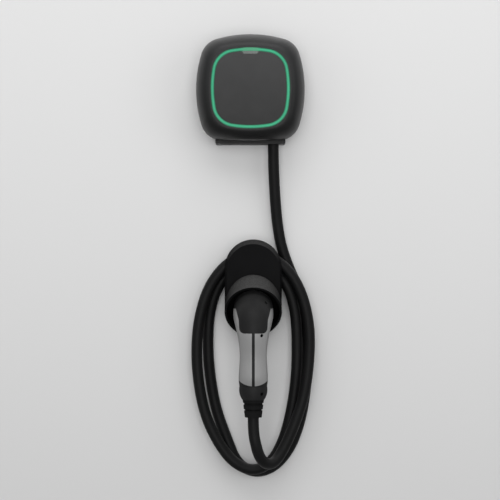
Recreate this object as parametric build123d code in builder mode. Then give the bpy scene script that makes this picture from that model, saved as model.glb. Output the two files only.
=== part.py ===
"""Wall-mounted charge point for an electric car, with its cable looped over a holster and the plug parked in it.

The wall is the plane y = 0, the front faces -Y, +X is to the right and +Z is up. The origin is the centre
of the wall bracket's screw pattern. Millimetres throughout; "depth" is the distance from the wall.
"""

import math
import os

from build123d import *

os.makedirs("parts", exist_ok=True)

# Charge point, outside sizes
unit_width = 198.0
unit_height = 200.6
unit_centre_z = 1.0
unit_side_radius = 220.0
unit_corner_radius = 40.0
ring_side_radius = 207.0
ring_corner_radius = 42.0
ring_drop = 1.6
unit_floor_z = -92.3
unit_floor_radius = 600.0
widest_depth = 50.0
front_bulge_depth = 48.0
front_bulge_inset = 27.5
rear_bulge_depth = 41.0
rear_bulge_inset = 26.0
rear_turn = 60.0
bulge_step = 15.0
shell_wall = 3.0
slide_clearance = 0.3
fixed_clearance = 0.5

# Front panel, light ring and window
ring_width = 6.0
ring_outer_lip = 2.5
ring_inner_lip = 4.5
ring_flange_thickness = 2.2
ring_sink = 0.5
light_guide_depth = 3.5
light_guide_width = 4.0
window_top_width = 31.0
window_bottom_width = 25.5
window_height = 5.2

# Rear housing and the foot that shows below the cover
back_depth = 12.0
skirt_depth = 1.0
housing_wall = 3.0
housing_front_depth = 50.0
foot_width = 128.0
foot_bottom_z = -97.3
foot_front_depth = 44.0
foot_height = 30.0
foot_edge_radius = 2.0
foot_corner_radius = 3.0
gasket_thickness = 1.5
gasket_width = 2.0
inner_lid_front_depth = 86.0
inner_lid_inset = 24.0
inner_lid_wall = 2.5
lid_flange_thickness = 2.5
lug_x = 57.0
lug_width = 6.0
lug_rear_depth = 31.0
lug_front_depth = 48.0
lug_bottom_z = -91.6
lug_height = 4.0
lug_boss_radius = 3.4

# Wall bracket
bracket_thickness = 2.0
bracket_width = 120.0
bracket_height = 96.0
bracket_corner_radius = 6.0
wall_hole_spacing_x = 80.0
wall_hole_spacing_z = 60.0
wall_hole_radius = 2.75
hook_width = 70.0
hook_root_z = 40.0
hook_reach = 4.0
hook_rise = 8.0
hanger_thickness = 3.0
bracket_window_width = 44.0
bracket_window_height = 30.0

# Fasteners
small_screw_radius = 1.5
small_head_radius = 2.8
small_head_height = 2.2
small_screw_length = 9.0
drive_recess_width = 2.2
drive_recess_depth = 1.0

# Electronics
board_thickness = 1.6
board_depth = 30.0
board_width = 124.0
board_height = 112.0
board_centre_z = 6.0
board_corner_radius = 3.0
board_hole_inset = 6.0
post_radius = 4.0
relay_size = (26.0, 22.0, 24.0)
relay_pitch = 31.0
relay_row_z = -6.0
terminal_pole_pitch = 8.0
terminal_poles = 5
terminal_size = (44.0, 18.0, 20.0)
terminal_x = 39.0
terminal_z = -31.0
terminal_screw_radius = 3.0
terminal_screw_height = 4.0
sensor_size = (32.0, 26.0, 9.0)
sensor_opening = (23.0, 6.0)
sensor_bottom_z = -64.0
transformer_size = (30.0, 26.0, 24.0)
capacitor_radius = 6.5
capacitor_height = 22.0
capacitor_pitch = 15.0
fuse_size = (8.0, 20.0, 9.0)
radio_size = (22.0, 16.0, 3.0)
led_board_width = 9.0
led_rib_width = 2.0
lamp_count = 20
led_size = 3.2
led_height = 1.2

# Current selector and bus end switch
selector_base_size = 14.0
selector_base_height = 6.0
selector_x = 46.0
selector_z = 44.0
dial_radius = 5.5
dial_height = 5.0
dial_shaft_radius = 2.0
dial_shaft_clearance = 0.08
dial_pointer_width = 1.6
switch_base_size = (16.0, 7.0, 5.0)
switch_x = 16.0
switch_z = 46.0
switch_slot_size = (7.0, 2.6, 2.5)
switch_travel = 2.5
switch_knob_length = 4.0
switch_knob_width = 2.0
switch_knob_height = 5.0

# Cable gland and inner leads
cable_diameter = 20.0
gland_x = 42.0
gland_depth = 28.0
gland_nut_radius = 12.2
gland_nut_height = 7.0
gland_seal_height = 6.0
gland_body_radius = 12.0
gland_body_height = 14.0
gland_wall = 1.4
lead_diameter = 3.4
lead_pitch = 4.4
lead_bend = 4.0
lead_rise = 10.5
supply_bore_radius = 10.0
supply_x = -42.0
grommet_flange_radius = 11.8
grommet_skin = 1.2
grommet_thickness = 3.0

# Holster, seen from the front a tall rounded shield
holster_x = 5.2
holster_centre_z = -361.5
holster_width = 104.0
holster_height = 179.0
plate_thickness = 6.0
plate_inset = 8.0
plate_edge_radius = 2.0
flange_back_depth = 46.0
flange_front_depth = 52.0
flange_rim = 1.0
flange_bevel_side = 3.6
flange_bevel_top = 8.6
flange_edge = 0.8
saddle_half_width = 36.0
saddle_top_z = -330.8
saddle_radius = 62.0
saddle_wall = 3.0
lower_body_top_z = -392.0
lower_body_wall = 3.0
holster_hole_spacing_x = 40.0
holster_hole_spacing_z = 100.0
holster_hole_z = -350.0
holster_hole_radius = 2.75
top_pillar_z = -341.5
top_pillar_radius = 4.5
lower_boss_x = 30.0
lower_boss_z = -428.0
lower_boss_radius = 4.0
neck_bottom_z = -398.0

# Tilted mouth of the holster
mouth_tilt = 30.0
mouth_depth = 64.5
mouth_z = -403.7
mouth_outer_radius = 52.0
mouth_inner_radius = 48.0
mouth_floor = 18.0
cup_inner_radius = 28.4
cup_wall = 3.0
cup_length = 32.0
cup_floor = 2.0

# Plug
nose_radius = 28.0
nose_length = 31.0
nose_flat = 22.0
nose_socket_depth = 4.0
nose_rim = 2.6
head_radius = 36.0
head_front = -17.0
head_full = 12.0
elbow_depth = 89.5
elbow_z = -424.0
elbow_radius = 33.0
handle_depth = 96.0
handle_top_z = -455.0
handle_mid_z = -500.0
handle_end_z = -535.0
handle_top_size = (26.5, 25.5)
handle_mid_size = (25.0, 22.8)
handle_end_size = (24.8, 22.0)
plug_wall = 2.6
strip_width = 5.2
cap_head_z = -397.0
cap_back_depth = 84.0
cap_shoulder = (32.0, -395.0)
cap_waist = (26.2, -416.0)
cap_corner = (24.6, -440.0)
cap_corner_radius = 9.0
silver_end_z = -534.0
silver_end_radius = 41.0
collar_zone_half = 28.0
collar_zone_rise = 11.0
collar_zone_depth = 10.0
collar_straight_z = -548.0
collar_end_z = -559.5
collar_end_radius = 20.0
boot_top_radius = 19.2
boot_end_radius = 15.2
boot_end_z = -591.0
boot_grooves = ((5.5, 4.0), (17.0, 2.8))
boot_groove_depth = 2.0
boot_bridge_width = 5.0
pin_radius = 4.6
pin_bore_radius = 3.2
pin_length = 24.0
signal_pin_radius = 3.2
signal_bore_radius = 1.6
pin_circle_radius = 17.5
signal_pin_x = 8.5
signal_pin_y = 12.5

X_AXIS = (1, 0, 0)


def unit_plane(depth, z=unit_centre_z):
    """A plane parallel to the wall at this depth, on the charge point's centre, facing the viewer."""
    return Plane(origin=(0, -depth, z), x_dir=X_AXIS, z_dir=(0, -1, 0))


def ring_plane(depth):
    """The same, on the centre of the light ring, which sits a little low on the cover."""
    return unit_plane(depth, unit_centre_z - ring_drop)


def holster_plane(depth, z=holster_centre_z):
    """The same, on the holster's centre line."""
    return Plane(origin=(holster_x, -depth, z), x_dir=X_AXIS, z_dir=(0, -1, 0))


def level_plane(x, depth, z, up=True):
    """A horizontal plane, facing up or down."""
    return Plane(origin=(x, -depth, z), x_dir=X_AXIS, z_dir=(0, 0, 1 if up else -1))


def write(part, name):
    """Labels a finished piece and writes it."""
    part.label = name
    export_step(part, f"parts/{name}.step")


def inset_outline(inset):
    """Outline of the charge point, drawn smaller by this much: four bowed sides and four round corners."""
    half_x = unit_width / 2 - inset
    half_z = unit_height / 2 - inset
    inner = max(0, inset - front_bulge_inset)
    share = min(1, inset / front_bulge_inset)
    bow = unit_side_radius + share * (ring_side_radius - unit_side_radius) - inner
    corner = unit_corner_radius + share * (ring_corner_radius - unit_corner_radius) - inner
    corner_x, corner_z = half_x, half_z
    for settle in range(20):
        corner_x = half_x - (bow - math.sqrt(bow**2 - corner_z**2))
        corner_z = half_z - (bow - math.sqrt(bow**2 - corner_x**2))
    with BuildSketch(mode=Mode.PRIVATE) as shape:
        with BuildLine():
            ThreePointArc((-corner_x, corner_z), (0, half_z), (corner_x, corner_z))
            ThreePointArc((corner_x, corner_z), (half_x, 0), (corner_x, -corner_z))
            ThreePointArc((corner_x, -corner_z), (0, -half_z), (-corner_x, -corner_z))
            ThreePointArc((-corner_x, -corner_z), (-half_x, 0), (-corner_x, corner_z))
        make_face()
        fillet(shape.vertices(), corner)
    return shape.sketch


front_depth = widest_depth + front_bulge_depth
rear_inset = rear_bulge_inset * (1 - math.cos(math.radians(rear_turn)))


def bulge(turn, wall):
    """Depth, inset and drop of the cover's round side, where turn runs from its rear rim to its front edge."""
    reach = front_bulge_depth if turn > 0 else rear_bulge_depth
    inset = front_bulge_inset if turn > 0 else rear_bulge_inset
    angle = math.radians(turn)
    drop = ring_drop * (1 - math.cos(angle)) if turn > 0 else 0
    return widest_depth + (reach - wall) * math.sin(angle), wall + inset * (1 - math.cos(angle)), drop


bulge_turns = [-rear_turn + bulge_step * k for k in range(round((90 + rear_turn) / bulge_step) + 1)]
ring_outer_inset = front_bulge_inset + slide_clearance
ring_inner_inset = ring_outer_inset + ring_width
ring_seat_depth = front_depth - shell_wall
ring_back_depth = ring_seat_depth - ring_flange_thickness
panel_inset = ring_inner_inset + slide_clearance
rear_opening_inset = rear_inset + shell_wall
housing_inset = rear_opening_inset + fixed_clearance
housing_inner_inset = housing_inset + housing_wall
floor_depth = back_depth + housing_wall
foot_top_z = foot_bottom_z + foot_height
foot_inner_bottom_z = foot_bottom_z + housing_wall
lid_seat_depth = housing_front_depth + gasket_thickness


def floor_zone():
    """What lies below the cover's flat floor, which bows down a little in the middle."""
    half = unit_width / 2
    side = unit_floor_radius - math.sqrt(unit_floor_radius**2 - half**2)
    with BuildSketch(mode=Mode.PRIVATE) as shape:
        with BuildLine():
            ThreePointArc((-half, side), (0, 0), (half, side))
            Polyline((half, side), (half, -half), (-half, -half), (-half, side))
        make_face()
    return shape.sketch


# The cover: a bowl with a round side and a flat floor, open at the back and inside the light ring
with BuildPart() as cover_hollow:
    for turn in bulge_turns:
        depth, inset, drop = bulge(turn, shell_wall)
        with BuildSketch(unit_plane(depth, unit_centre_z - drop)):
            add(inset_outline(inset))
    loft()
    with BuildSketch(unit_plane(0, unit_floor_z + shell_wall)):
        add(floor_zone())
    extrude(amount=2 * front_depth, mode=Mode.SUBTRACT)

with BuildPart() as front_cover:
    for turn in bulge_turns:
        depth, inset, drop = bulge(turn, 0)
        with BuildSketch(unit_plane(depth, unit_centre_z - drop)):
            add(inset_outline(inset))
    loft()
    with BuildSketch(unit_plane(0, unit_floor_z)):
        add(floor_zone())
    extrude(amount=2 * front_depth, mode=Mode.SUBTRACT)
    add(cover_hollow.part, mode=Mode.SUBTRACT)
    with BuildSketch(unit_plane(0)):
        add(inset_outline(rear_opening_inset))
    extrude(amount=widest_depth, mode=Mode.SUBTRACT)
    with BuildSketch(ring_plane(widest_depth)):
        add(inset_outline(front_bulge_inset))
    extrude(amount=front_bulge_depth + shell_wall, mode=Mode.SUBTRACT)
    with BuildSketch(ring_plane(widest_depth)):
        add(inset_outline(ring_outer_inset - ring_outer_lip - slide_clearance))
    extrude(amount=ring_seat_depth - widest_depth, mode=Mode.SUBTRACT)
    with BuildSketch(unit_plane(0, foot_bottom_z)):
        with Locations((0, foot_height / 2)):
            Rectangle(foot_width + 2 * fixed_clearance, foot_height)
    extrude(amount=foot_front_depth + fixed_clearance, mode=Mode.SUBTRACT)
    with BuildSketch(unit_plane(lug_rear_depth, lug_bottom_z)):
        with Locations((-lug_x, lug_height / 2), (lug_x, lug_height / 2)):
            Rectangle(lug_width, lug_height)
    extrude(amount=lug_front_depth - lug_rear_depth)
    lug_hole_depth = lug_rear_depth + lug_width / 2
    with BuildSketch(level_plane(0, lug_hole_depth, lug_bottom_z)):
        with Locations((-lug_x, 0), (lug_x, 0)):
            Circle(small_screw_radius)
    extrude(amount=lug_height, mode=Mode.SUBTRACT)
write(front_cover.part, "front_cover")

# The light ring: a bright band between cover and panel, on a flange that both seat on
with BuildPart() as light_ring:
    with BuildSketch(ring_plane(ring_back_depth)):
        add(inset_outline(ring_outer_inset - ring_outer_lip))
        add(inset_outline(ring_inner_inset + ring_inner_lip), mode=Mode.SUBTRACT)
    extrude(amount=ring_flange_thickness)
    with BuildSketch(ring_plane(ring_seat_depth)):
        add(inset_outline(ring_outer_inset))
        add(inset_outline(ring_inner_inset), mode=Mode.SUBTRACT)
    extrude(amount=shell_wall - ring_sink)
    ring_centre_inset = (ring_outer_inset + ring_inner_inset) / 2
    with BuildSketch(ring_plane(ring_back_depth)):
        add(inset_outline(ring_centre_inset - light_guide_width / 2))
        add(inset_outline(ring_centre_inset + light_guide_width / 2), mode=Mode.SUBTRACT)
    extrude(amount=-light_guide_depth)
write(light_ring.part, "light_ring")

# The front panel, with a notch under the ring's top for the sensor window
panel_top = unit_height / 2 - panel_inset
window_z = unit_centre_z - ring_drop + panel_top


def window_outline(clearance):
    """Half widths and height of the window, as a trapezoid that narrows downwards from the panel's top."""
    top = window_top_width / 2 - clearance
    bottom = window_bottom_width / 2 - clearance
    low = -window_height + clearance
    return [(-top, 1), (top, 1), (bottom, low), (-bottom, low)]


with BuildPart() as front_panel:
    with BuildSketch(ring_plane(ring_seat_depth)):
        add(inset_outline(panel_inset))
    extrude(amount=shell_wall)
    with BuildSketch(unit_plane(ring_seat_depth, window_z)):
        Polygon(*window_outline(0), align=None)
    extrude(amount=shell_wall, mode=Mode.SUBTRACT)
write(front_panel.part, "front_panel")

with BuildPart() as sensor_window:
    with BuildSketch(unit_plane(ring_seat_depth, window_z)):
        Polygon(*window_outline(slide_clearance / 2), align=None)
    extrude(amount=shell_wall - ring_sink)
    with BuildSketch(ring_plane(ring_seat_depth)):
        add(inset_outline(panel_inset))
    extrude(amount=shell_wall, mode=Mode.INTERSECT)
write(sensor_window.part, "sensor_window")

# The rear housing: a tray with a recess for the bracket, and a foot that takes the cables
foot_centre_z = foot_bottom_z + foot_height / 2
board_hole_x = board_width / 2 - board_hole_inset
board_hole_z = board_height / 2 - board_hole_inset
board_holes = [(x, z) for x in (-board_hole_x, board_hole_x) for z in (-board_hole_z, board_hole_z)]
board_front_depth = board_depth + board_thickness
hanger_bottom_z = hook_root_z + hook_rise
hook_front_depth = bracket_thickness + hook_reach

with BuildPart() as rear_housing:
    with BuildSketch(unit_plane(skirt_depth)):
        add(inset_outline(housing_inset))
    extrude(amount=housing_front_depth - skirt_depth)
    with BuildSketch(level_plane(0, 0, foot_bottom_z)):
        with Locations((0, -(skirt_depth + foot_front_depth) / 2)):
            RectangleRounded(foot_width, foot_front_depth - skirt_depth, foot_edge_radius)
    extrude(amount=foot_height)
    with BuildSketch(unit_plane(0, foot_bottom_z + foot_corner_radius)):
        with Locations((-foot_width / 2, 0), (foot_width / 2, 0)):
            Rectangle(2 * foot_corner_radius, 2 * foot_corner_radius, align=(Align.CENTER, Align.MAX))
        with Locations((foot_corner_radius - foot_width / 2, 0), (foot_width / 2 - foot_corner_radius, 0)):
            Circle(foot_corner_radius, mode=Mode.SUBTRACT)
    extrude(amount=foot_front_depth, mode=Mode.SUBTRACT)
    with BuildSketch(unit_plane(floor_depth)):
        add(inset_outline(housing_inner_inset))
    extrude(amount=housing_front_depth, mode=Mode.SUBTRACT)
    with BuildSketch(unit_plane(0)):
        add(inset_outline(housing_inner_inset))
    extrude(amount=back_depth, mode=Mode.SUBTRACT)
    with BuildSketch(unit_plane(floor_depth, foot_centre_z)):
        with Locations((0, housing_wall)):
            Rectangle(foot_width - 2 * housing_wall, foot_height)
    extrude(amount=foot_front_depth - housing_wall - floor_depth, mode=Mode.SUBTRACT)
    with BuildSketch(level_plane(gland_x, gland_depth, foot_bottom_z)):
        Circle(gland_nut_radius + slide_clearance)
        with Locations((supply_x - gland_x, 0)):
            Circle(supply_bore_radius)
    extrude(amount=housing_wall, mode=Mode.SUBTRACT)
    with BuildSketch(unit_plane(foot_front_depth - housing_wall, lug_bottom_z)):
        with Locations((-lug_x, lug_height / 2), (lug_x, lug_height / 2)):
            Rectangle(lug_width + 2 * fixed_clearance, lug_height + 2 * fixed_clearance)
    extrude(amount=housing_wall, mode=Mode.SUBTRACT)
    with BuildSketch(level_plane(0, lug_hole_depth, foot_inner_bottom_z)):
        with Locations((-lug_x, 0), (lug_x, 0)):
            Circle(lug_boss_radius)
    extrude(amount=lug_bottom_z - slide_clearance - foot_inner_bottom_z)
    with BuildSketch(level_plane(0, lug_hole_depth, foot_bottom_z)):
        with Locations((-lug_x, 0), (lug_x, 0)):
            Circle(small_screw_radius + slide_clearance)
    extrude(amount=foot_height, mode=Mode.SUBTRACT)
    with BuildSketch(level_plane(0, lug_hole_depth, foot_bottom_z)):
        with Locations((-lug_x, 0), (lug_x, 0)):
            Circle(small_head_radius + slide_clearance)
    extrude(amount=small_head_height, mode=Mode.SUBTRACT)
    with BuildSketch(unit_plane(floor_depth, board_centre_z)):
        with Locations(*board_holes):
            Circle(post_radius)
    extrude(amount=board_depth - floor_depth)
    with BuildSketch(unit_plane(floor_depth, board_centre_z)):
        with Locations(*board_holes):
            Circle(small_screw_radius)
    extrude(amount=board_depth - floor_depth, mode=Mode.SUBTRACT)
    with BuildSketch(Plane.YZ.offset(-hook_width / 2)):
        with BuildLine():
            Polyline(
                (-back_depth, hanger_bottom_z),
                (-back_depth, hanger_bottom_z + hanger_thickness),
                (-bracket_thickness - fixed_clearance, hanger_bottom_z + hanger_thickness),
                (-bracket_thickness - fixed_clearance, hook_root_z + bracket_thickness + fixed_clearance),
                (-hook_front_depth + bracket_thickness + fixed_clearance, hook_root_z + bracket_thickness + fixed_clearance),
                (-hook_front_depth + bracket_thickness + fixed_clearance, hanger_bottom_z),
                close=True,
            )
        make_face()
    extrude(amount=hook_width)
write(rear_housing.part, "rear_housing")

# The wall bracket: a plate with four screw holes, a window for wiring and one hook that the housing hangs on
with BuildPart() as wall_bracket:
    with BuildSketch(Plane.XZ):
        RectangleRounded(bracket_width, bracket_height, bracket_corner_radius)
        Rectangle(bracket_window_width, bracket_window_height, mode=Mode.SUBTRACT)
        with GridLocations(wall_hole_spacing_x, wall_hole_spacing_z, 2, 2):
            Circle(wall_hole_radius, mode=Mode.SUBTRACT)
    extrude(amount=bracket_thickness)
    with BuildSketch(Plane.YZ.offset(-hook_width / 2)):
        with BuildLine():
            Polyline(
                (-bracket_thickness, hook_root_z),
                (-hook_front_depth, hook_root_z),
                (-hook_front_depth, hanger_bottom_z),
                (-hook_front_depth + bracket_thickness, hanger_bottom_z),
                (-hook_front_depth + bracket_thickness, hook_root_z + bracket_thickness),
                (-bracket_thickness, hook_root_z + bracket_thickness),
                close=True,
            )
        make_face()
    extrude(amount=hook_width)
write(wall_bracket.part, "wall_bracket")

# Seal and inner lid
with BuildPart() as housing_gasket:
    gasket_inset = housing_inset + (housing_wall - gasket_width) / 2
    with BuildSketch(unit_plane(housing_front_depth)):
        add(inset_outline(gasket_inset))
        add(inset_outline(gasket_inset + gasket_width), mode=Mode.SUBTRACT)
    extrude(amount=gasket_thickness)
write(housing_gasket.part, "housing_gasket")

led_rib_inset = ring_outer_inset - ring_outer_lip + 1.0
led_board_outer_inset = led_rib_inset + led_rib_width + fixed_clearance

with BuildPart() as inner_lid:
    with BuildSketch(unit_plane(lid_seat_depth)):
        add(inset_outline(housing_inset))
    extrude(amount=lid_flange_thickness)
    with BuildSketch(unit_plane(lid_seat_depth)):
        add(inset_outline(inner_lid_inset))
    extrude(amount=inner_lid_front_depth - lid_seat_depth)
    with BuildSketch(unit_plane(lid_seat_depth)):
        add(inset_outline(inner_lid_inset + inner_lid_wall))
    extrude(amount=inner_lid_front_depth - inner_lid_wall - lid_seat_depth, mode=Mode.SUBTRACT)
    with BuildSketch(ring_plane(inner_lid_front_depth)):
        add(inset_outline(led_rib_inset))
        add(inset_outline(led_rib_inset + led_rib_width), mode=Mode.SUBTRACT)
    extrude(amount=ring_back_depth - inner_lid_front_depth)
write(inner_lid.part, "inner_lid")

# Light board and its lamps, which stand under the ring
led_face_depth = inner_lid_front_depth + board_thickness
with BuildPart() as led_board:
    with BuildSketch(ring_plane(inner_lid_front_depth)):
        add(inset_outline(led_board_outer_inset))
        add(inset_outline(led_board_outer_inset + led_board_width), mode=Mode.SUBTRACT)
    extrude(amount=board_thickness)
write(led_board.part, "led_board")

lamp_path = inset_outline(ring_centre_inset).wire()
with BuildPart() as ring_lamps:
    lamps = [lamp_path @ (k / lamp_count) for k in range(lamp_count)]
    places = [(lamp.X, lamp.Y) for lamp in lamps]
    with BuildSketch(ring_plane(led_face_depth)):
        with Locations(*places):
            Rectangle(led_size, led_size)
    extrude(amount=led_height)
write(ring_lamps.part, "ring_lamps")

# Main board
with BuildPart() as main_board:
    with BuildSketch(unit_plane(board_depth, board_centre_z)):
        RectangleRounded(board_width, board_height, board_corner_radius)
        with Locations(*board_holes):
            Circle(small_screw_radius + slide_clearance, mode=Mode.SUBTRACT)
    extrude(amount=board_thickness)
write(main_board.part, "main_board")

with BuildPart() as board_screws:
    with BuildSketch(unit_plane(board_front_depth, board_centre_z)):
        with Locations(*board_holes):
            Circle(small_screw_radius)
    extrude(amount=-small_screw_length)
    with BuildSketch(unit_plane(board_front_depth, board_centre_z)):
        with Locations(*board_holes):
            Circle(small_head_radius)
    extrude(amount=small_head_height)
    with BuildSketch(unit_plane(board_front_depth + small_head_height, board_centre_z)):
        with Locations(*board_holes):
            RegularPolygon(drive_recess_width / 2, 6)
    extrude(amount=-drive_recess_depth, mode=Mode.SUBTRACT)
write(board_screws.part, "board_screws")

with BuildPart() as cover_screws:
    with BuildSketch(level_plane(0, lug_hole_depth, foot_bottom_z)):
        with Locations((-lug_x, 0), (lug_x, 0)):
            Circle(small_head_radius)
    extrude(amount=small_head_height)
    with BuildSketch(level_plane(0, lug_hole_depth, foot_bottom_z + small_head_height)):
        with Locations((-lug_x, 0), (lug_x, 0)):
            Circle(small_screw_radius)
    extrude(amount=small_screw_length)
    with BuildSketch(level_plane(0, lug_hole_depth, foot_bottom_z)):
        with Locations((-lug_x, 0), (lug_x, 0)):
            RegularPolygon(drive_recess_width / 2, 6)
    extrude(amount=drive_recess_depth, mode=Mode.SUBTRACT)
write(cover_screws.part, "cover_screws")

for number in range(4):
    relay_x = (number - 1.5) * relay_pitch
    with BuildPart() as relay:
        with BuildSketch(unit_plane(board_front_depth, relay_row_z)):
            with Locations((relay_x, 0)):
                RectangleRounded(relay_size[0], relay_size[1], 1.5)
        extrude(amount=relay_size[2])
        fillet(relay.faces().sort_by(Axis.Y)[0].edges(), 1.0)
    write(relay.part, f"relay_{number + 1}")

# Terminal blocks, with a clamp screw for each pole
pole_row = [(k - (terminal_poles - 1) / 2) * terminal_pole_pitch for k in range(terminal_poles)]
terminal_front_depth = board_front_depth + terminal_size[2]
for name, block_x in (("supply_terminal", -terminal_x), ("outlet_terminal", terminal_x)):
    with BuildPart() as block:
        with BuildSketch(unit_plane(board_front_depth, terminal_z)):
            with Locations((block_x, 0)):
                Rectangle(terminal_size[0], terminal_size[1])
        extrude(amount=terminal_size[2])
        with BuildSketch(unit_plane(terminal_front_depth, terminal_z)):
            with Locations(*[(block_x + p, 0) for p in pole_row]):
                Circle(terminal_screw_radius + slide_clearance)
        extrude(amount=-terminal_screw_height, mode=Mode.SUBTRACT)
    write(block.part, name)

with BuildPart() as terminal_screws:
    screw_places = [(x + p, 0) for x in (-terminal_x, terminal_x) for p in pole_row]
    with BuildSketch(unit_plane(terminal_front_depth, terminal_z)):
        with Locations(*screw_places):
            Circle(terminal_screw_radius)
    extrude(amount=-terminal_screw_height)
    with BuildSketch(unit_plane(terminal_front_depth, terminal_z)):
        with Locations(*screw_places):
            Rectangle(2 * terminal_screw_radius, 1.0)
    extrude(amount=-drive_recess_depth, mode=Mode.SUBTRACT)
write(terminal_screws.part, "terminal_screws")

# Power supply, filter, fuse and radio
with BuildPart() as supply_transformer:
    with BuildSketch(unit_plane(board_front_depth, 0)):
        with Locations((-42, 36)):
            Rectangle(transformer_size[0], transformer_size[1])
    extrude(amount=transformer_size[2])
    fillet(supply_transformer.edges().filter_by(Axis.Y), 2.0)
write(supply_transformer.part, "supply_transformer")

with BuildPart() as filter_capacitors:
    with BuildSketch(unit_plane(board_front_depth, 0)):
        with Locations((-15, 42), (-15, 42 - capacitor_pitch)):
            Circle(capacitor_radius)
    extrude(amount=capacitor_height)
    fillet(filter_capacitors.faces().group_by(Axis.Y)[0].edges(), 1.0)
write(filter_capacitors.part, "filter_capacitors")

with BuildPart() as board_fuse:
    with BuildSketch(unit_plane(board_front_depth, 0)):
        with Locations((0, 34)):
            Rectangle(fuse_size[0], fuse_size[1])
    extrude(amount=fuse_size[2])
write(board_fuse.part, "board_fuse")

with BuildPart() as radio_module:
    with BuildSketch(unit_plane(board_front_depth, 0)):
        with Locations((20, 26)):
            Rectangle(radio_size[0], radio_size[1])
    extrude(amount=radio_size[2])
write(radio_module.part, "radio_module")

# Current selector: a round dial on a shaft in its base
selector_front_depth = board_front_depth + selector_base_height
with BuildPart() as selector_base:
    with BuildSketch(unit_plane(board_front_depth, selector_z)):
        with Locations((selector_x, 0)):
            Rectangle(selector_base_size, selector_base_size)
            Circle(dial_shaft_radius + dial_shaft_clearance, mode=Mode.SUBTRACT)
    extrude(amount=selector_base_height)
write(selector_base.part, "selector_base")

with BuildPart() as selector_dial:
    with BuildSketch(unit_plane(selector_front_depth + slide_clearance, selector_z)):
        with Locations((selector_x, 0)):
            Circle(dial_radius)
    extrude(amount=dial_height)
    with BuildSketch(unit_plane(selector_front_depth + slide_clearance, selector_z)):
        with Locations((selector_x, 0)):
            Circle(dial_shaft_radius)
    extrude(amount=-selector_base_height)
    with BuildSketch(unit_plane(selector_front_depth + slide_clearance + dial_height, selector_z)):
        with Locations((selector_x, dial_radius / 2)):
            Rectangle(dial_pointer_width, dial_radius + 1)
    extrude(amount=-drive_recess_depth, mode=Mode.SUBTRACT)
write(selector_dial.part, "selector_dial")

# Bus end switch: a knob that slides along a slot
with BuildPart() as bus_switch_base:
    with BuildSketch(unit_plane(board_front_depth, switch_z)):
        with Locations((switch_x, 0)):
            Rectangle(switch_base_size[0], switch_base_size[1])
    extrude(amount=switch_base_size[2])
    with BuildSketch(unit_plane(board_front_depth + switch_base_size[2], switch_z)):
        with Locations((switch_x, 0)):
            Rectangle(switch_slot_size[0], switch_slot_size[1])
    extrude(amount=-switch_slot_size[2], mode=Mode.SUBTRACT)
write(bus_switch_base.part, "bus_switch_base")

with BuildPart() as bus_switch_knob:
    knob_depth = board_front_depth + switch_base_size[2] - switch_slot_size[2] + slide_clearance
    with BuildSketch(unit_plane(knob_depth, switch_z)):
        with Locations((switch_x - switch_travel / 2, 0)):
            Rectangle(switch_knob_length, switch_knob_width)
    extrude(amount=switch_knob_height)
write(bus_switch_knob.part, "bus_switch_knob")

# Cable entry: a gland nut flush with the foot, its seal and its body, and a closed membrane beside it
cable_radius = cable_diameter / 2
gland_bore = cable_radius + slide_clearance
gland_nut_top_z = foot_bottom_z + gland_nut_height
gland_body_top_z = gland_nut_top_z + gland_body_height

with BuildPart() as gland_nut:
    with BuildSketch(level_plane(gland_x, gland_depth, foot_bottom_z)):
        Circle(gland_nut_radius)
        Circle(gland_bore, mode=Mode.SUBTRACT)
    extrude(amount=gland_nut_height)
write(gland_nut.part, "gland_nut")

with BuildPart() as gland_body:
    with BuildSketch(level_plane(gland_x, gland_depth, gland_nut_top_z)):
        Circle(gland_body_radius)
        Circle(gland_bore, mode=Mode.SUBTRACT)
    extrude(amount=gland_body_height)
    with BuildSketch(level_plane(gland_x, gland_depth, gland_nut_top_z)):
        Circle(gland_body_radius - gland_wall / 2)
    extrude(amount=gland_seal_height, mode=Mode.SUBTRACT)
write(gland_body.part, "gland_body")

with BuildPart() as gland_seal:
    with BuildSketch(level_plane(gland_x, gland_depth, gland_nut_top_z)):
        Circle(gland_body_radius - gland_wall / 2 - slide_clearance / 2)
        Circle(gland_bore, mode=Mode.SUBTRACT)
    extrude(amount=gland_seal_height)
write(gland_seal.part, "gland_seal")

with BuildPart() as supply_grommet:
    with BuildSketch(level_plane(supply_x, gland_depth, foot_bottom_z)):
        Circle(supply_bore_radius - slide_clearance / 2)
    extrude(amount=housing_wall)
    with BuildSketch(level_plane(supply_x, gland_depth, foot_inner_bottom_z)):
        Circle(grommet_flange_radius)
    extrude(amount=grommet_thickness)
    with BuildSketch(level_plane(supply_x, gland_depth, foot_bottom_z + grommet_skin)):
        Circle(supply_bore_radius - 2 * grommet_skin)
    extrude(amount=housing_wall + grommet_thickness, mode=Mode.SUBTRACT)
write(supply_grommet.part, "supply_grommet")

with BuildPart() as current_sensor:
    with BuildSketch(level_plane(gland_x, gland_depth, sensor_bottom_z)):
        RectangleRounded(sensor_size[0], sensor_size[1], 2.0)
        Rectangle(sensor_opening[0], sensor_opening[1], mode=Mode.SUBTRACT)
    extrude(amount=sensor_size[2])
write(current_sensor.part, "current_sensor")

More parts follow.
